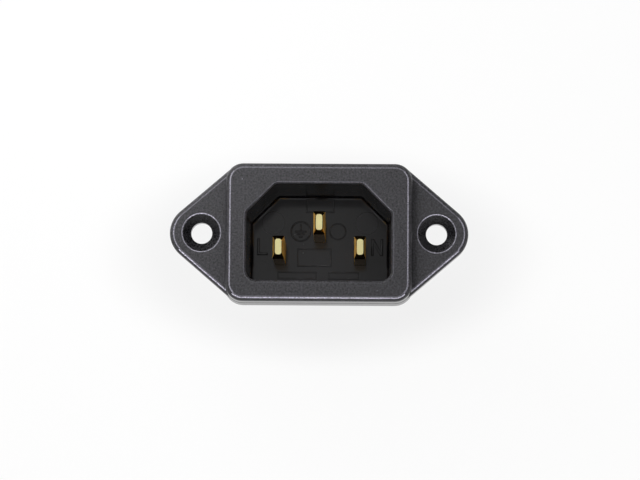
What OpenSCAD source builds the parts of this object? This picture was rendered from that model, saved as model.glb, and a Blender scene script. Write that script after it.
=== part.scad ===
// Panel-mounted appliance inlet with three flat pins and two screw ears.
// Seen from the front: +X right, +Z up, and +Y into the panel.
// The origin is on the inlet's axis, in the plane where the flange's back meets the panel.

/* [Flange] */
// Distance between the two screw holes
hole_spacing = 40; // [39:0.5:50]
// How far the centre of each rounded ear end lies outside its screw hole
ear_lead = 0.65; // [0:0.05:1.5]
// Radius of the rounded ear ends
ear_r = 4.75; // [4.2:0.05:5.4]
// Thickness of the flange
flange_t = 3; // [2.4:0.1:5]
// Round along the front edge of the ears
flange_edge_r = 0.8; // [0.2:0.1:1.2]
// Diameter of the screw holes
screw_d = 3.6; // [2.8:0.1:4.2]
// Diameter of the countersinks at the flange's front
countersink_d = 6.4; // [5.4:0.1:7.4]
// Bevel that breaks the rim of each countersink
rim_bevel = 0.15; // [0.05:0.05:0.3]

/* [Bezel] */
// Width of the raised frame at its front
bezel_w = 31.7; // [30.4:0.1:32.6]
// Height of the raised frame at its front
bezel_h = 23.5; // [22:0.1:25]
// Radius of the raised frame's corners
bezel_corner_r = 3; // [2.2:0.1:4]
// How far the raised frame stands in front of the flange
bezel_rise = 2; // [1.6:0.1:5]
// Round along the frame's front edge
bezel_edge_r = 0.9; // [0.3:0.1:1.2]
// How much each side of the frame widens towards the panel
bezel_draft = 0.35; // [0:0.05:0.5]

/* [Inlet recess] */
// Width of the recess that takes the plug
inlet_w = 24.5; // [23.6:0.1:25.6]
// Height of the recess
inlet_h = 16.4; // [15.6:0.1:17.6]
// Leg of the two cut upper corners, which key the plug
inlet_cut = 4.9; // [4:0.1:5.6]
// Radius of the two lower corners
lower_corner_r = 1.8; // [1:0.1:2.6]
// Radius where each cut meets its neighbours
cut_corner_r = 1; // [0.5:0.1:1.5]
// Depth of the recess
inlet_depth = 17; // [15.4:0.1:18.4]
// How much each wall of the recess closes in towards the floor
inlet_draft = 0.25; // [0:0.05:0.4]
// Round of the lip at the mouth
lip_r = 0.5; // [0.15:0.05:0.6]
// Round where the walls of the recess meet its floor
floor_edge_r = 0.45; // [0.1:0.05:0.6]

/* [Rear body] */
// Thickness of the walls round the recess
wall_t = 1.3; // [1:0.1:1.6]
// Thickness of the floor that holds the pins
floor_t = 2.8; // [2.4:0.1:4]
// How far the outer wall and the barriers stand behind the floor
skirt_h = 2; // [1.8:0.1:4]
// Thickness of the barriers between the terminals
barrier_t = 1; // [0.6:0.1:1.2]
// Round along the rear edge of the outer wall
rear_edge_r = 0.3; // [0.1:0.1:0.5]

/* [Pins] */
// Width of each pin, across the inlet
pin_w = 2; // [1.6:0.1:2.4]
// Height of each pin
pin_h = 4; // [3.4:0.1:4.6]
// Radius of the pins' long edges
pin_edge_r = 0.25; // [0.1:0.05:0.5]
// Distance between the line and neutral pins
pin_pitch = 14; // [13.6:0.1:14.4]
// How far the line and neutral pins sit below the inlet's axis
row_drop = 2; // [1.6:0.1:2.4]
// How far the earth pin sits above the inlet's axis
earth_rise = 2; // [1.6:0.1:2.4]
// Length of the line and neutral pins in front of the floor
pin_len = 12; // [10:0.1:13]
// How much further forward the earth pin reaches
earth_lead = 2.2; // [1:0.1:3]
// Width of the flat at a pin's tip
tip_w = 1.1; // [0.8:0.1:1.4]
// Height of the flat at a pin's tip
tip_h = 2.7; // [2:0.1:3]
// Length of the bevels that lead in to the tip
tip_len = 1.3; // [0.8:0.1:2]
// Depth of the socket that holds the pin's root in the floor
socket_depth = 1.6; // [1:0.1:2]
// Gap on each side between a pin and its socket
pin_fit = 0.03; // [0.01:0.01:0.08]
// Diameter of the tenon behind each pin
tenon_d = 1.9; // [1.5:0.1:1.9]
// Diameter of the head that each tenon is peened into
head_d = 3.4; // [2.8:0.1:3.8]
// Height of that head
head_h = 0.7; // [0.5:0.1:0.9]

/* [Tabs] */
// Width of the push-on tabs
tab_w = 4.8; // [4.4:0.1:5.2]
// Thickness of the tabs' strip
tab_t = 0.8; // [0.6:0.1:1]
// How far the tabs reach past the rear body
tab_reach = 8; // [6.4:0.1:10]
// Distance from a pin's axis to its tab's outer face
tab_offset = 3; // [2.8:0.1:3.4]
// Length of the tab's foot on the other side of the pin's axis
foot_tail = 2.2; // [2:0.1:2.6]
// Inner radius of the tab's bend
bend_r = 0.4; // [0.2:0.1:0.6]
// Diameter of the hole near the tab's end
tab_hole_d = 1.5; // [1:0.1:2]
// Cut off the tab's corners
tab_corner = 0.8; // [0.3:0.1:1.2]
// Gap on each side between a tenon and its holes
tenon_fit = 0.05; // [0.02:0.01:0.1]

/* [Hidden] */

// Planes along the inlet's axis
bezel_y = -flange_t - bezel_rise;
floor_y = bezel_y + inlet_depth;
seat_y = floor_y + floor_t;
rear_y = seat_y + skirt_h;

// Places of the pins, as [x, z]
line_at = [-pin_pitch / 2, -row_drop];
neutral_at = [pin_pitch / 2, -row_drop];
earth_at = [0, earth_rise];

// The ears' straight edges run just inside the frame's corners, as they are at the panel
ear_tuck = 0.15;
// Marks of the mould's ejectors and gate on the recess's floor
ejector_d = 4;
ejector_in = 4.05;
ejector_down = 4.8;
low_ejector_d = 3;
low_ejector_in = 2.05;
low_ejector_up = 3.4;
mark_depth = 0.12;
gate_d = 1;
gate_x = 0.4;
gate_up = 2.3;
// Space between the earth tab's foot and the barrier below it
barrier_gap = 0.9;
// Break of the edge round a pin's tip
tip_edge = 0.12;
// Bevel on the faces of a tab's end, and how far its hole is from that end
tab_bevel = 0.2;
hole_back = 2.6;

arc_step = 7.5;
bore_fn = 96;
past = 0.5;

// A ring of arcs, joined by straight tangents, round circles given as [x, z, radius] in
// anticlockwise order. grow moves the whole ring outwards.
function tangent_angle(a, b) =
    atan2(b[1] - a[1], b[0] - a[0]) - acos((a[2] - b[2]) / norm([b[0] - a[0], b[1] - a[1]]));
function ring(circles, y, grow = 0) = [
    for (i = [0 : len(circles) - 1])
        let (c = circles[i],
             before = circles[(i + len(circles) - 1) % len(circles)],
             after = circles[(i + 1) % len(circles)],
             start = tangent_angle(before, c),
             turn = (tangent_angle(c, after) - start + 720) % 360,
             steps = ceil(turn / arc_step))
        for (k = [0 : steps])
            let (angle = start + turn * k / steps)
            [c[0] + (c[2] + grow) * cos(angle), y, c[1] + (c[2] + grow) * sin(angle)]
];

// The rings of a quarter round, from front to back. The outline is grown by face_grow where the
// round meets the face at face_y, and by side_grow where it meets the side, r behind that face,
// or r in front of it where the face looks back.
function round_rings(circles, face_y, face_grow, side_grow, r, looks_back = false) = [
    for (angle = looks_back ? [90 : -15 : 0] : [0 : 15 : 90])
        let (inwards = r * (1 - cos(angle)))
        ring(
            circles,
            face_y + (looks_back ? -inwards : inwards),
            face_grow + (side_grow - face_grow) * sin(angle)
        )
];

// A closed solid through rings of equal length, from front to back.
module loft(rings) {
    n = len(rings[0]);
    last = (len(rings) - 1) * n;
    polyhedron(
        points = [for (r = rings) each r],
        faces = [
            [for (j = [0 : n - 1]) n - 1 - j],
            [for (j = [0 : n - 1]) last + j],
            for (i = [0 : len(rings) - 2], j = [0 : n - 1])
                [i * n + j, i * n + (j + 1) % n, (i + 1) * n + (j + 1) % n, (i + 1) * n + j]
        ]
    );
}

// Four corner circles of a w by h rectangle about [x, z]
function box_circles(w, h, r, at = [0, 0]) = [
    for (s = [[1, -1], [1, 1], [-1, 1], [-1, -1]])
        [at[0] + s[0] * (w / 2 - r), at[1] + s[1] * (h / 2 - r), r]
];

// The keyed outline of the recess: square below, with both upper corners cut at 45 degrees
cut_centre = cut_corner_r * tan(22.5);
keyed_circles = [
    [inlet_w / 2 - lower_corner_r, lower_corner_r - inlet_h / 2, lower_corner_r],
    [inlet_w / 2 - cut_corner_r, inlet_h / 2 - inlet_cut - cut_centre, cut_corner_r],
    [inlet_w / 2 - inlet_cut - cut_centre, inlet_h / 2 - cut_corner_r, cut_corner_r],
    [inlet_cut + cut_centre - inlet_w / 2, inlet_h / 2 - cut_corner_r, cut_corner_r],
    [cut_corner_r - inlet_w / 2, inlet_h / 2 - inlet_cut - cut_centre, cut_corner_r],
    [lower_corner_r - inlet_w / 2, lower_corner_r - inlet_h / 2, lower_corner_r]
];

bezel_circles = box_circles(bezel_w, bezel_h, bezel_corner_r);
tuck = bezel_draft - ear_tuck;
tucked_circles = box_circles(bezel_w + 2 * tuck, bezel_h + 2 * tuck, bezel_corner_r + tuck);
ear_x = hole_spacing / 2 + ear_lead;
ear_circles = [
    tucked_circles[0],
    [ear_x, 0, ear_r],
    tucked_circles[1],
    tucked_circles[2],
    [-ear_x, 0, ear_r],
    tucked_circles[3]
];

// Turns a shape that stands on +Z so that it points along +Y from a place on the front view
module along_y(at, y) {
    translate([at[0], y, at[1]]) rotate([-90, 0, 0]) children();
}

module ears() {
    loft(concat(
        round_rings(ear_circles, -flange_t, -flange_edge_r, 0, flange_edge_r),
        [ring(ear_circles, 0)]
    ));
}

module bezel() {
    loft(concat(
        round_rings(bezel_circles, bezel_y, -bezel_edge_r, 0, bezel_edge_r),
        [ring(bezel_circles, 0, bezel_draft)]
    ));
}

module rear_body() {
    loft(concat(
        [ring(keyed_circles, -flange_t / 2, wall_t)],
        round_rings(
            keyed_circles, rear_y, wall_t - inlet_draft - rear_edge_r, wall_t - inlet_draft,
            rear_edge_r, true
        )
    ));
}

// What the plug fills, opened a little past the front face. Its floor edge is rounded as far as
// the tightest corner of the outline allows.
module recess_space() {
    tightest = min(cut_corner_r, lower_corner_r) - inlet_draft;
    floor_r = min(floor_edge_r, tightest * 3 / 4);
    loft(concat(
        [ring(keyed_circles, bezel_y - past, lip_r)],
        round_rings(keyed_circles, bezel_y, lip_r, 0, lip_r),
        round_rings(keyed_circles, floor_y, -inlet_draft - floor_r, -inlet_draft, floor_r, true)
    ));
}

module screw_hole() {
    sink = (countersink_d - screw_d) / 2;
    rim_r = countersink_d / 2 + rim_bevel;
    translate([0, 0, -flange_t - past])
        cylinder(d = screw_d, h = flange_t + 2 * past, $fn = bore_fn);
    translate([0, 0, -flange_t])
        cylinder(r1 = countersink_d / 2, r2 = screw_d / 2, h = sink, $fn = bore_fn);
    translate([0, 0, -flange_t - past])
        cylinder(r1 = rim_r + 2 * past, r2 = rim_r - rim_bevel, h = past + rim_bevel / 2, $fn = bore_fn);
}

// The floor's hold on one pin: a socket for its root and a round hole for its tenon
module pin_seat(at) {
    loft([
        ring(box_circles(pin_w + 2 * pin_fit, pin_h + 2 * pin_fit, pin_edge_r + pin_fit, at), floor_y - past),
        ring(
            box_circles(pin_w + 2 * pin_fit, pin_h + 2 * pin_fit, pin_edge_r + pin_fit, at),
            floor_y + socket_depth
        )
    ]);
    along_y(at, floor_y) cylinder(d = tenon_d + 2 * tenon_fit, h = floor_t + past, $fn = bore_fn);
}

// Walls behind the floor that keep the three terminals apart
module barriers() {
    side_x = (pin_pitch / 2 - foot_tail + tab_w / 2) / 2;
    cross_z = earth_rise - foot_tail - barrier_gap - barrier_t / 2;
    depth = skirt_h + 2 * past;
    for (x = [-side_x, side_x])
        translate([x - barrier_t / 2, seat_y - past, cross_z - barrier_t / 2])
            cube([barrier_t, depth, inlet_h]);
    translate([-side_x, seat_y - past, cross_z - barrier_t / 2]) cube([2 * side_x, depth, barrier_t]);
    translate([-barrier_t / 2, seat_y - past, cross_z - inlet_h]) cube([barrier_t, depth, inlet_h]);
}

// The open space behind the floor, round the terminals
module rear_well() {
    difference() {
        loft([
            ring(keyed_circles, seat_y, -inlet_draft),
            ring(keyed_circles, rear_y + past, -inlet_draft)
        ]);
        barriers();
    }
}

// Shallow discs that the mould's ejectors leave in the floor of the recess
module ejector_marks() {
    for (side = [-1, 1]) {
        along_y([side * (inlet_w / 2 - ejector_in), inlet_h / 2 - ejector_down], floor_y - past)
            cylinder(d = ejector_d, h = past + mark_depth, $fn = bore_fn);
        along_y([side * (inlet_w / 2 - low_ejector_in), low_ejector_up - inlet_h / 2], floor_y - past)
            cylinder(d = low_ejector_d, h = past + mark_depth, $fn = bore_fn);
    }
}

module gate_mark() {
    along_y([gate_x, gate_up - inlet_h / 2], floor_y - mark_depth)
        cylinder(d = gate_d, h = mark_depth + past, $fn = bore_fn);
}

module housing() {
    color("#3c3b3e")
    difference() {
        union() {
            difference() {
                union() {
                    ears();
                    bezel();
                    rear_body();
                }
                recess_space();
                ejector_marks();
                rear_well();
            }
            gate_mark();
        }
        for (side = [-1, 1]) along_y([side * hole_spacing / 2, 0], 0) screw_hole();
        for (at = [line_at, neutral_at, earth_at]) pin_seat(at);
    }
}

// A solid flat pin: bevelled tip, root in the floor's socket, and a tenon peened over the tab
module contact_pin(at, reach) {
    tip_y = floor_y - reach;
    body_r = pin_edge_r;
    tip_r = min(tip_w, tip_h) / 2 - tip_edge;
    head_y = seat_y + tab_t;
    shaft = box_circles(pin_w, pin_h, body_r, at);
    loft([
        ring(box_circles(tip_w, tip_h, tip_r, at), tip_y),
        ring(box_circles(tip_w + 2 * tip_edge, tip_h + 2 * tip_edge, tip_r + tip_edge, at), tip_y + tip_edge),
        ring(shaft, tip_y + tip_len),
        ring(shaft, floor_y + socket_depth)
    ]);
    along_y(at, floor_y) cylinder(d = tenon_d, h = head_y - floor_y + head_h / 2, $fn = bore_fn);
    along_y(at, head_y) cylinder(d1 = head_d, d2 = head_d / 2, h = head_h, $fn = bore_fn);
}

module line_pin() {
    color("#c79a3c") contact_pin(line_at, pin_len);
}

module neutral_pin() {
    color("#c79a3c") contact_pin(neutral_at, pin_len);
}

module earth_pin() {
    color("#c79a3c") contact_pin(earth_at, pin_len + earth_lead);
}

// The tab's strip seen on its edge: foot along +X, blade along +Y, outer faces on the axes
module bent_strip(foot, rise) {
    outer_r = bend_r + tab_t;
    translate([outer_r, 0]) square([foot - outer_r, tab_t]);
    translate([0, outer_r])
        polygon([
            [0, 0], [tab_t, 0], [tab_t, rise - outer_r - tab_bevel],
            [tab_t - tab_bevel, rise - outer_r], [tab_bevel, rise - outer_r],
            [0, rise - outer_r - tab_bevel]
        ]);
    translate([outer_r, outer_r])
        intersection() {
            difference() {
                circle(r = outer_r, $fn = bore_fn);
                circle(r = bend_r, $fn = bore_fn);
            }
            translate([-outer_r, -outer_r]) square(outer_r);
        }
}

// A strip's face, with both corners cut at its far end
module strip_face(len) {
    polygon([
        [-past, -tab_w / 2], [len - tab_corner, -tab_w / 2], [len, tab_corner - tab_w / 2],
        [len, tab_w / 2 - tab_corner], [len - tab_corner, tab_w / 2], [-past, tab_w / 2]
    ]);
}

module push_on_tab() {
    foot = tab_offset + foot_tail;
    rise = skirt_h + tab_reach;
    difference() {
        intersection() {
            linear_extrude(tab_w, center = true) bent_strip(foot, rise);
            translate([-past, 0, 0]) rotate([90, 0, 90]) linear_extrude(foot + 2 * past) strip_face(rise);
            translate([0, rise + past, 0]) rotate([90, 0, 0]) linear_extrude(rise + 2 * past) strip_face(foot);
        }
        translate([tab_offset, -past, 0]) rotate([-90, 0, 0])
            cylinder(d = tenon_d + 2 * tenon_fit, h = tab_t + 2 * past, $fn = bore_fn);
        translate([-past, rise - hole_back, 0]) rotate([0, 90, 0])
            cylinder(d = tab_hole_d, h = tab_t + 2 * past, $fn = bore_fn);
    }
}

module line_tab() {
    color("#d0a850")
        translate([line_at[0] - tab_offset, seat_y, line_at[1]]) push_on_tab();
}

module neutral_tab() {
    color("#d0a850")
        translate([neutral_at[0] + tab_offset, seat_y, neutral_at[1]]) mirror([1, 0, 0]) push_on_tab();
}

module earth_tab() {
    color("#d0a850")
        translate([earth_at[0], seat_y, earth_at[1] + tab_offset]) rotate([0, 90, 0]) push_on_tab();
}

housing();
line_pin();
neutral_pin();
earth_pin();
line_tab();
neutral_tab();
earth_tab();
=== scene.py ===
import bpy
from math import cos, pi, radians, sin
from mathutils import Matrix, Vector


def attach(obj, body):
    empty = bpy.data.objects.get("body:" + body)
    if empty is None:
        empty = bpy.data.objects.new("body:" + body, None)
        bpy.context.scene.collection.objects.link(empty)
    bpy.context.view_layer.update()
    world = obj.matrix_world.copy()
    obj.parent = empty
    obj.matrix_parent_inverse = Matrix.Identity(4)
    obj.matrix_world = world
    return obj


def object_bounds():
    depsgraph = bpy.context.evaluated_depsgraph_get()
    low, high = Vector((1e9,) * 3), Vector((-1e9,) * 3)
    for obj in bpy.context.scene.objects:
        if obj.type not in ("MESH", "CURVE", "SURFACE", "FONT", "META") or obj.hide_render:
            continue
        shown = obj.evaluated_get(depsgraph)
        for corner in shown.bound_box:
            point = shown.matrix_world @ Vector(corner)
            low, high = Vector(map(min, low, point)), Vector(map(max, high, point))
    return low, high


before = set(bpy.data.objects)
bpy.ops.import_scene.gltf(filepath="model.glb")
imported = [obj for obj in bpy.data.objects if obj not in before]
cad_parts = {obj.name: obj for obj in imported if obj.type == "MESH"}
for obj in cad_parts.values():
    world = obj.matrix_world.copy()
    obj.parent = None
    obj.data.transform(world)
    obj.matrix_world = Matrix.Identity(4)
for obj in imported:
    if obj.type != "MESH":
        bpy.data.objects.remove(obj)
cad_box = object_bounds()
rear_end = cad_box[1][1]
mm = 0.001

# ---- Camera ----
# The inlet is seen almost square-on from its mating face, from a little below
# the centre line and a hair to the right, with the camera rolled very slightly.
view_azimuth, view_elevation, view_roll = radians(0.82), radians(-6.07), radians(0.425)
view_distance = 0.45
aim = Vector((0.19, -3.0, -1.17)) * mm
away = Vector((
    sin(view_azimuth) * cos(view_elevation),
    -cos(view_azimuth) * cos(view_elevation),
    sin(view_elevation),
))
level_right = (-away).cross(Vector((0, 0, 1))).normalized()
level_up = level_right.cross(-away).normalized()
right = cos(view_roll) * level_right + sin(view_roll) * level_up
up = cos(view_roll) * level_up - sin(view_roll) * level_right
lens_data = bpy.data.cameras.new("camera")
lens_data.lens = 149.1
lens_data.sensor_width = 36.0
lens_data.clip_start = 0.01
camera = bpy.data.objects.new("camera", lens_data)
bpy.context.collection.objects.link(camera)
camera.matrix_world = Matrix.Translation(aim + away * view_distance) @ Matrix((
    (right.x, up.x, away.x, 0),
    (right.y, up.y, away.y, 0),
    (right.z, up.z, away.z, 0),
    (0, 0, 0, 1),
))
bpy.context.scene.camera = camera


# ---- Table and floor ----
# A sheet of white card stands close behind the terminals, with a pale studio
# floor below. The card is bright wherever the camera or the brass sees it, and
# it still takes a soft shadow from the inlet. Its glow is also painted darker
# close round the inlet, a painted shadow.
class Tone:
    """A value, colour or direction on its way through a finish."""

    def __init__(self, tree, socket=None):
        self.tree, self.socket = tree, socket

    def node(self, kind, settings, inputs, out=0):
        made = self.tree.nodes.new(kind)
        for name, value in settings.items():
            setattr(made, name, value)
        for name, value in inputs.items():
            if isinstance(value, Tone):
                self.tree.links.new(value.socket, made.inputs[name])
            else:
                made.inputs[name].default_value = value
        return Tone(self.tree, made.outputs[out] if made.outputs else None)

    def math(self, operation, first, second=0.0):
        return self.node("ShaderNodeMath", {"operation": operation}, {0: first, 1: second})

    def __add__(self, other):
        return self.math("ADD", self, other)

    def __radd__(self, other):
        return self.math("ADD", other, self)

    def __sub__(self, other):
        return self.math("SUBTRACT", self, other)

    def __rsub__(self, other):
        return self.math("SUBTRACT", other, self)

    def __mul__(self, other):
        return self.math("MULTIPLY", self, other)

    def __rmul__(self, other):
        return self.math("MULTIPLY", other, self)

    def __gt__(self, other):
        return self.math("GREATER_THAN", self, other)

    def __lt__(self, other):
        return self.math("LESS_THAN", self, other)


def new_finish(name):
    """A new material with an empty node tree, ready to be mixed."""
    material = bpy.data.materials.new(name)
    material.use_nodes = True
    material.node_tree.nodes.clear()
    return material, Tone(material.node_tree)


def sheet_of_card(name, corners, material):
    mesh = bpy.data.meshes.new(name)
    mesh.from_pydata(corners, [], [(0, 1, 2, 3)])
    mesh.materials.append(material)
    card = bpy.data.objects.new(name, mesh)
    bpy.context.collection.objects.link(card)
    return card


def card_finish(name, glow):
    material, mix = new_finish(name)
    ray = mix.node("ShaderNodeLightPath", {}, {})
    path = ray.socket.node.outputs
    camera_ray = Tone(mix.tree, path["Is Camera Ray"])
    glossy_ray = Tone(mix.tree, path["Is Glossy Ray"])
    clear_ray = Tone(mix.tree, path["Is Transmission Ray"])
    seen = mix.math("MINIMUM", camera_ray + glossy_ray + clear_ray, 1.0)
    from_behind = mix.node("ShaderNodeNewGeometry", {}, {}, out="Backfacing") * camera_ray
    spot = mix.node("ShaderNodeTexCoord", {}, {}, out="Object")
    stretched = mix.node("ShaderNodeVectorMath", {"operation": "MULTIPLY"}, {0: spot, 1: (1.0, 0.0, 2.0)})
    from_inlet = mix.node("ShaderNodeVectorMath", {"operation": "DISTANCE"}, {
        0: stretched, 1: (0.0, 0.0, -0.0015),
    }, out="Value")
    # Painted shadow: the card's glow is darker close round the inlet and full white farther out.
    paper_painted_shadow = mix.node("ShaderNodeMapRange", {"interpolation_type": "SMOOTHSTEP"}, {
        "Value": from_inlet, "From Min": 0.026, "From Max": 0.044, "To Min": 0.93, "To Max": 1.03,
    })
    lit = mix.node("ShaderNodeBsdfDiffuse", {}, {"Color": (0.8, 0.8, 0.8, 1)})
    white = mix.node("ShaderNodeEmission", {}, {"Color": paper_painted_shadow, "Strength": 1.0})
    see_through = mix.node("ShaderNodeBsdfTransparent", {}, {})
    face = mix.node("ShaderNodeMixShader", {}, {0: seen * glow, 1: lit, 2: white})
    body = mix.node("ShaderNodeMixShader", {}, {0: from_behind, 1: face, 2: see_through})
    mix.node("ShaderNodeOutputMaterial", {}, {"Surface": body})
    return material


reach = 0.45
floor_front = -0.6
floor_z = -0.10
card_gap = 4 * mm
card_y = rear_end + card_gap
backdrop = sheet_of_card(
    "white_card",
    [
        (-reach, card_y, floor_z),
        (reach, card_y, floor_z),
        (reach, card_y, reach),
        (-reach, card_y, reach),
    ],
    card_finish("white card", 0.9),
)
backdrop.visible_shadow = False
sheet_of_card(
    "studio_floor",
    [
        (-reach, floor_front, floor_z),
        (reach, floor_front, floor_z),
        (reach, -floor_front, floor_z),
        (-reach, -floor_front, floor_z),
    ],
    card_finish("studio floor", 0.5),
)

# ---- Light ----
# Soft boxes stand round a light tent: a big one above and in front, one to each
# side, small ones close to the upper left and over the lens, and two behind for the
# terminal side.


def soft_box(name, place, size, power):
    """An area lamp aimed at the origin, with its sides in metres and its power in watts."""
    lamp = bpy.data.lights.new(name, "AREA")
    lamp.shape = "RECTANGLE"
    lamp.size, lamp.size_y = size
    lamp.energy = power
    holder = bpy.data.objects.new(name, lamp)
    bpy.context.collection.objects.link(holder)
    holder.location = place
    holder.rotation_euler = Vector(place).to_track_quat("Z", "Y").to_euler()
    holder.visible_camera = False


soft_box("top_box", (-0.01, -0.20, 0.115), (0.16, 0.05), 0.035)
soft_box("near_box", (-0.045, -0.06, 0.06), (0.07, 0.03), 0.055)
soft_box("left_box", (-0.13, -0.24, 0.02), (0.04, 0.16), 0.065)
soft_box("right_box", (0.14, -0.26, 0.02), (0.04, 0.16), 0.05)
soft_box("lens_box", (-0.01, -0.30, 0.03), (0.04, 0.04), 0.0014)
soft_box("rear_left_box", (-0.30, 0.40, 0.25), (0.25, 0.25), 1.2)
soft_box("rear_right_box", (0.30, 0.40, 0.10), (0.25, 0.25), 0.8)

world = bpy.data.worlds.new("white tent")
bpy.context.scene.world = world
world.use_nodes = True
world.node_tree.nodes.clear()
tent = Tone(world.node_tree)
path = tent.node("ShaderNodeLightPath", {}, {}).socket.node.outputs
camera_ray = Tone(tent.tree, path["Is Camera Ray"])
clear_ray = Tone(tent.tree, path["Is Transmission Ray"])
seen = tent.math("MAXIMUM", camera_ray, clear_ray)
fill_light = 0.32
sky = tent.node("ShaderNodeBackground", {}, {
    "Color": (1, 1, 1, 1), "Strength": seen * (1 - fill_light) + fill_light,
})
tent.node("ShaderNodeOutputWorld", {}, {"Surface": sky})
bpy.context.scene.view_settings.view_transform = "Standard"

# ---- Housing ----
# One moulding in black nylon: screw flange, keyed socket and rear barriers. The
# tool was spark eroded, so the skin is an even satin grain. The core that forms
# the recess was polished, so the walls and floor inside are smooth and glossy.
recess_w, recess_h, recess_cut = 24.5, 16.4, 4.9
bezel_face, recess_floor = -5.0, 12.0
hole_x, countersink_r = 20.0, 3.2
ejector_x, ejector_z, ejector_r = 8.2, 3.4, 2.0


def where(mix):
    """The place on the piece, in millimetres."""
    place = mix.node("ShaderNodeTexCoord", {}, {}, out="Object")
    return mix.node("ShaderNodeVectorMath", {"operation": "SCALE"}, {0: place, "Scale": 1000.0})


def facing(mix):
    """The direction that the surface faces."""
    return mix.node("ShaderNodeTexCoord", {}, {}, out="Normal")


def along(axis, vector):
    return vector.node("ShaderNodeSeparateXYZ", {}, {0: vector}, out=axis)


nylon, mix = new_finish("black nylon")
in_mm = where(mix)
across, depth, height = along("X", in_mm), along("Y", in_mm), along("Z", in_mm)
grain = mix.node("ShaderNodeTexNoise", {}, {"Vector": in_mm, "Scale": 3.0, "Detail": 3.0, "Roughness": 0.65})
fine = mix.node("ShaderNodeTexNoise", {}, {"Vector": in_mm, "Scale": 9.0, "Detail": 2.0, "Roughness": 0.5})
cloud = mix.node("ShaderNodeTexNoise", {}, {"Vector": in_mm, "Scale": 0.35, "Detail": 2.0})


def band(value, start, full, fade, end):
    """1 from full to fade, falling to 0 at start and end."""
    rise = value.node("ShaderNodeMapRange", {"interpolation_type": "SMOOTHSTEP"}, {
        "Value": value, "From Min": start, "From Max": full,
    })
    fall = value.node("ShaderNodeMapRange", {"interpolation_type": "SMOOTHSTEP"}, {
        "Value": value, "From Min": fade, "From Max": end, "To Min": 1.0, "To Max": 0.0,
    })
    return rise * fall


def size_of(value):
    return value.math("ABSOLUTE", value)


def distance(side, rise):
    flat = side.node("ShaderNodeCombineXYZ", {}, {"X": side, "Z": rise})
    return side.node("ShaderNodeVectorMath", {"operation": "LENGTH"}, {0: flat}, out="Value")


polished = (
    (size_of(across) < recess_w / 2 + 0.1)
    * (size_of(height) < recess_h / 2 + 0.1)
    * (size_of(across) + height < (recess_w + recess_h) / 2 - recess_cut + 0.5)
    * (depth > bezel_face + 0.4)
    * (depth < recess_floor + 0.3)
)
from_ejector = distance(size_of(across) - ejector_x, height - ejector_z)
on_floor = (depth > recess_floor - 0.05) * polished
ejector = (from_ejector < ejector_r - 0.12) * on_floor
ejector_ring = on_floor * band(
    from_ejector, ejector_r - 0.16, ejector_r - 0.08, ejector_r + 0.04, ejector_r + 0.1
)

# A dotted grey line is painted where the flat faces turn into their rounded edges and on the rim
# of each countersink: partly handling wear on the peaks of the grain, partly painted highlight.
# The line is painted brightest on edges that face down and faintest on edges that face up. A few
# specks of dust lie on the satin skin.
rearward = along("Y", facing(mix))
sideways = size_of(along("X", facing(mix)))
upward = along("Z", facing(mix))
faces_up, faces_down = upward > sideways, (0.0 - upward) > sideways
mouth = (size_of(across) < recess_w / 2 + 0.8) * (size_of(height) < recess_h / 2 + 0.8)
start_of_round = band(rearward, -0.9999, -0.999, -0.98, -0.94)
bottom_of_round = band(rearward, -0.97, -0.95, -0.90, -0.86) * faces_down
edge_wear_and_painted_highlight = (
    start_of_round * (1.0 - faces_up * 0.6 - faces_down * 0.7)
    + bottom_of_round * 2.5 * (depth < -2.5)
) * (1.0 - mouth * 0.8)
from_hole = distance(size_of(across) - hole_x, height)
hole_rim = band(
    from_hole, countersink_r - 0.02, countersink_r + 0.04, countersink_r + 0.12, countersink_r + 0.2
)
peaks = mix.node("ShaderNodeMapRange", {}, {
    "Value": fine, "From Min": 0.38, "From Max": 0.60, "To Min": 0.15, "To Max": 1.0,
})
cell = {"Vector": in_mm, "Scale": 0.7}
dust = (mix.node("ShaderNodeTexVoronoi", {}, cell, out="Distance") < 0.07) * (
    along("X", mix.node("ShaderNodeTexVoronoi", {}, cell, out="Color")) > 0.86
)
wear_and_painted_highlight = mix.math("MAXIMUM", edge_wear_and_painted_highlight, hole_rim * (depth < -2.0)) * (1.0 - polished) * peaks
flank = (size_of(rearward) < 0.35) * (depth < 0.2) * (1.0 - polished)
# Countersink cones: smoother and glossier, and their colour is painted darker as painted shade.
cone = (from_hole < countersink_r - 0.08) * (rearward > -0.95)
smooth = mix.math("MAXIMUM", polished, flank)
mottle = mix.node("ShaderNodeMapRange", {}, {
    "Value": grain, "From Min": 0.32, "From Max": 0.68, "To Min": 0.0, "To Max": 2.9,
})
tint = (
    (mottle + (cloud - 0.5) * 0.6) * (1.0 - smooth) * (1.0 - cone * 0.6)
    # Painted shade: smooth faces in front of the recess floor, the recess walls and the outer side walls,
    # are painted much darker.
    + smooth * (0.95 + (cloud - 0.5) * 0.5 - (depth < recess_floor - 0.6) * 0.75)
    + (ejector * 0.4 - ejector_ring * 0.8)
    # Painted highlight, partly wear: the dotted line on the rounded edges and countersink rims is painted
    # bright.
    + wear_and_painted_highlight * 23.0
    + dust * (1.0 - polished * 0.6) * 9.0
)
nylon_grey = mix.node("ShaderNodeVectorMath", {"operation": "SCALE"}, {
    0: (0.0185, 0.0178, 0.0213), "Scale": tint,
})
relief = mix.node("ShaderNodeBump", {}, {
    "Strength": 1.0,
    "Distance": 0.0002,
    "Height": (grain * 0.7 + fine * 0.3) * (1.0 - smooth) * (1.0 - cone * 0.7),
})
skin = mix.node("ShaderNodeBsdfPrincipled", {}, {
    "Base Color": nylon_grey,
    "Roughness": 0.38 + grain * 0.14 + cloud * 0.06 - smooth * 0.36 - cone * 0.2,
    "IOR": 1.53,
    "Normal": relief,
})
mix.node("ShaderNodeOutputMaterial", {}, {"Surface": skin})

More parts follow.
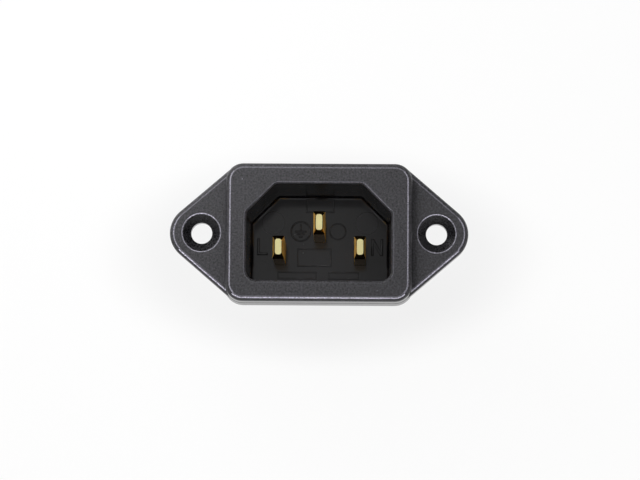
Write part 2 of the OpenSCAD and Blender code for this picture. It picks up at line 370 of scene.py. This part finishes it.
rolled_edges = bpy.data.node_groups.new("rolled edges", "GeometryNodeTree")
rolled_edges.interface.new_socket("Geometry", in_out="INPUT", socket_type="NodeSocketGeometry")
rolled_edges.interface.new_socket("Geometry", in_out="OUTPUT", socket_type="NodeSocketGeometry")
shade_smooth = rolled_edges.nodes.new("GeometryNodeSetShadeSmooth")
rolled_edges.links.new(rolled_edges.nodes.new("NodeGroupInput").outputs[0], shade_smooth.inputs[0])
rolled_edges.links.new(shade_smooth.outputs[0], rolled_edges.nodes.new("NodeGroupOutput").inputs[0])


def dress(node_name, material):
    """Gives a piece of the frame its finish and even shading over its rounded edges."""
    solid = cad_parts[node_name]
    for slot in solid.material_slots:
        slot.material = material
    solid.modifiers.new("rolled edges", "NODES").node_group = rolled_edges
    solid.modifiers.new("flat faces", "WEIGHTED_NORMAL").keep_sharp = True


dress("housing", nylon)

# ---- Terminal letters and earth sign ----
# Raised marks cut into the floor of the tool beside the pins they name: L, N and
# the general sign for protective earth. They are the same nylon as the floor.
sunk = 0.01


def raised_mark(name, loops, rise=0.32, edge=0.15):
    """An outline in millimetres, across and up, raised from the floor, with a bevelled edge.

    The bevel takes its width from both sides of a line, so it stays under half the line.
    """
    outline = bpy.data.curves.new(name, "CURVE")
    outline.dimensions = "2D"
    outline.fill_mode = "BOTH"
    outline.extrude = (rise / 2 - edge / 2) * mm
    outline.bevel_depth = edge * mm
    outline.offset = -edge * mm
    for loop in loops:
        spline = outline.splines.new("POLY")
        spline.points.add(len(loop) - 1)
        for point, (x, z) in zip(spline.points, loop):
            point.co = (x * mm, z * mm, 0, 1)
        spline.use_cyclic_u = True
    drawn = bpy.data.objects.new(name + "_outline", outline)
    bpy.context.collection.objects.link(drawn)
    bpy.context.view_layer.update()
    shape = bpy.data.meshes.new_from_object(drawn.evaluated_get(bpy.context.evaluated_depsgraph_get()))
    bpy.data.objects.remove(drawn)
    bpy.data.curves.remove(outline)
    face_up = Matrix.Rotation(pi / 2, 4, "X")
    shape.transform(Matrix.Translation((0, (recess_floor - rise / 2 + sunk) * mm, 0)) @ face_up)
    shape.name = name
    shape.materials.clear()
    shape.materials.append(nylon)
    mark = bpy.data.objects.new(name, shape)
    bpy.context.collection.objects.link(mark)
    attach(mark, "root")


def bar(left, bottom, wide, tall):
    return [(left, bottom), (left + wide, bottom), (left + wide, bottom + tall), (left, bottom + tall)]


def circle(x, z, r, steps=48):
    return [(x + r * cos(2 * pi * i / steps), z + r * sin(2 * pi * i / steps)) for i in range(steps)]


letter_z, letter_h, stroke = -2.3, 2.9, 0.42
letter_top = letter_z + letter_h
line_x, foot = -11.0, 1.8
raised_mark("line_letter", [[
    (line_x, letter_z),
    (line_x + foot, letter_z),
    (line_x + foot, letter_z + stroke),
    (line_x + stroke, letter_z + stroke),
    (line_x + stroke, letter_top),
    (line_x, letter_top),
]])
neutral_x, neutral_w, slant, notch = 8.95, 2.1, 0.5, 0.75
neutral_end = neutral_x + neutral_w
raised_mark("neutral_letter", [[
    (neutral_x, letter_z),
    (neutral_x + stroke, letter_z),
    (neutral_x + stroke, letter_top - notch),
    (neutral_end - slant, letter_z),
    (neutral_end, letter_z),
    (neutral_end, letter_top),
    (neutral_end - stroke, letter_top),
    (neutral_end - stroke, letter_z + notch),
    (neutral_x + slant, letter_top),
    (neutral_x, letter_top),
]])
earth_x, earth_z, earth_r, line_w, sign_edge = -3.4, 1.9, 1.8, 0.24, 0.09
raised_mark("earth_sign", [
    circle(earth_x, earth_z, earth_r),
    circle(earth_x, earth_z, earth_r - line_w),
    bar(earth_x - line_w / 2, earth_z + 0.1, line_w, 1.15),
    bar(earth_x - 1.0, earth_z - 0.14, 2.0, line_w),
    bar(earth_x - 0.65, earth_z - 0.62, 1.3, line_w),
    bar(earth_x - 0.3, earth_z - 1.1, 0.6, line_w),
], edge=sign_edge)

# ---- Blank marking inserts ----
# Interchangeable pins and plates in the tool, left blank on this part. Each one
# leaves only the raised witness line of its edge round a bare, smooth field.
witness, witness_rise, witness_edge = 0.22, 0.10, 0.08
round_x, round_z, round_r = 3.1, 1.9, 1.5


def frame_of_plate(left, bottom, wide, tall):
    inner = bar(left + witness, bottom + witness, wide - 2 * witness, tall - 2 * witness)
    return [bar(left, bottom, wide, tall), inner]


for insert, loops in {
    "upper_insert": frame_of_plate(-2.5, 5.2, 5.0, 2.4),
    "lower_insert": frame_of_plate(-4.0, -4.3, 6.0, 3.2),
    "round_insert": [circle(round_x, round_z, round_r), circle(round_x, round_z, round_r - witness)],
    "rating_insert_left": frame_of_plate(-7.4, -6.5, 6.8, 1.3),
    "rating_insert_right": frame_of_plate(1.4, -6.5, 5.4, 1.3),
}.items():
    raised_mark(insert, loops, witness_rise, witness_edge)

# ---- Contact pins ----
# Three flat brass pins, drawn, cropped and coined to a blunt bevelled tip, then
# pressed through the floor of the socket. Faces square to the pin's length get a
# paler, brighter colour and all other faces a deeper, darker one: partly the coined
# and tarnished finish, partly painted highlight on the tips and painted shade on
# the sides. The narrow sides are smooth and the flat sides keep a matt drawn finish.
brass, mix = new_finish("drawn brass")
in_mm = where(mix)
stretched = mix.node("ShaderNodeVectorMath", {"operation": "MULTIPLY"}, {0: in_mm, 1: (9.0, 0.4, 9.0)})
lines = mix.node("ShaderNodeTexNoise", {}, {"Vector": stretched, "Scale": 1.0, "Detail": 3.0})
cloud = mix.node("ShaderNodeTexNoise", {}, {"Vector": in_mm, "Scale": 0.8, "Detail": 2.0})
tip = size_of(along("Y", facing(mix))) > 0.9
flat_side = size_of(along("X", facing(mix))) > 0.8
# Painted highlight and painted shade: faces square to the pin's length are painted paler and brighter, the
# others deeper and darker, on top of the coined and tarnished finish.
coined_and_painted_highlight = mix.node("ShaderNodeVectorMath", {"operation": "SCALE"}, {0: (1.0, 0.90, 0.46), "Scale": tip})
tarnished_and_painted_shade = mix.node("ShaderNodeVectorMath", {"operation": "SCALE"}, {
    0: (0.86, 0.55, 0.16), "Scale": 1.0 - tip,
})
both = mix.node("ShaderNodeVectorMath", {"operation": "ADD"}, {0: coined_and_painted_highlight, 1: tarnished_and_painted_shade})
brass_tone = mix.node("ShaderNodeVectorMath", {"operation": "SCALE"}, {
    0: both, "Scale": 0.85 + cloud * 0.2 + lines * 0.1,
})
relief = mix.node("ShaderNodeBump", {}, {"Strength": 0.3, "Distance": 0.00001, "Height": lines})
metal = mix.node("ShaderNodeBsdfPrincipled", {}, {
    "Base Color": brass_tone,
    "Metallic": 1.0,
    "Roughness": 0.14 + lines * 0.12 + tip * 0.16 + flat_side * 0.55,
    "Normal": relief,
})
mix.node("ShaderNodeOutputMaterial", {}, {"Surface": metal})
for pin in ("line_pin", "neutral_pin", "earth_pin"):
    dress(pin, brass)

# ---- Push-on tabs ----
# Blanked from half-hard brass strip, bent once and staked under the peened pin
# tails. The strip keeps the fine lines of its rolling.
strip, mix = new_finish("rolled brass strip")
in_mm = where(mix)
stretched = mix.node("ShaderNodeVectorMath", {"operation": "MULTIPLY"}, {0: in_mm, 1: (6.0, 0.5, 6.0)})
lines = mix.node("ShaderNodeTexNoise", {}, {"Vector": stretched, "Scale": 1.0, "Detail": 4.0})
cloud = mix.node("ShaderNodeTexNoise", {}, {"Vector": in_mm, "Scale": 0.6, "Detail": 3.0})
strip_tone = mix.node("ShaderNodeVectorMath", {"operation": "SCALE"}, {
    0: (0.80, 0.56, 0.24), "Scale": 0.8 + cloud * 0.3,
})
relief = mix.node("ShaderNodeBump", {}, {"Strength": 0.3, "Distance": 0.00001, "Height": lines})
metal = mix.node("ShaderNodeBsdfPrincipled", {}, {
    "Base Color": strip_tone,
    "Metallic": 1.0,
    "Roughness": 0.25 + cloud * 0.15,
    "Normal": relief,
})
mix.node("ShaderNodeOutputMaterial", {}, {"Surface": metal})
for tab in ("line_tab", "neutral_tab", "earth_tab"):
    dress(tab, strip)
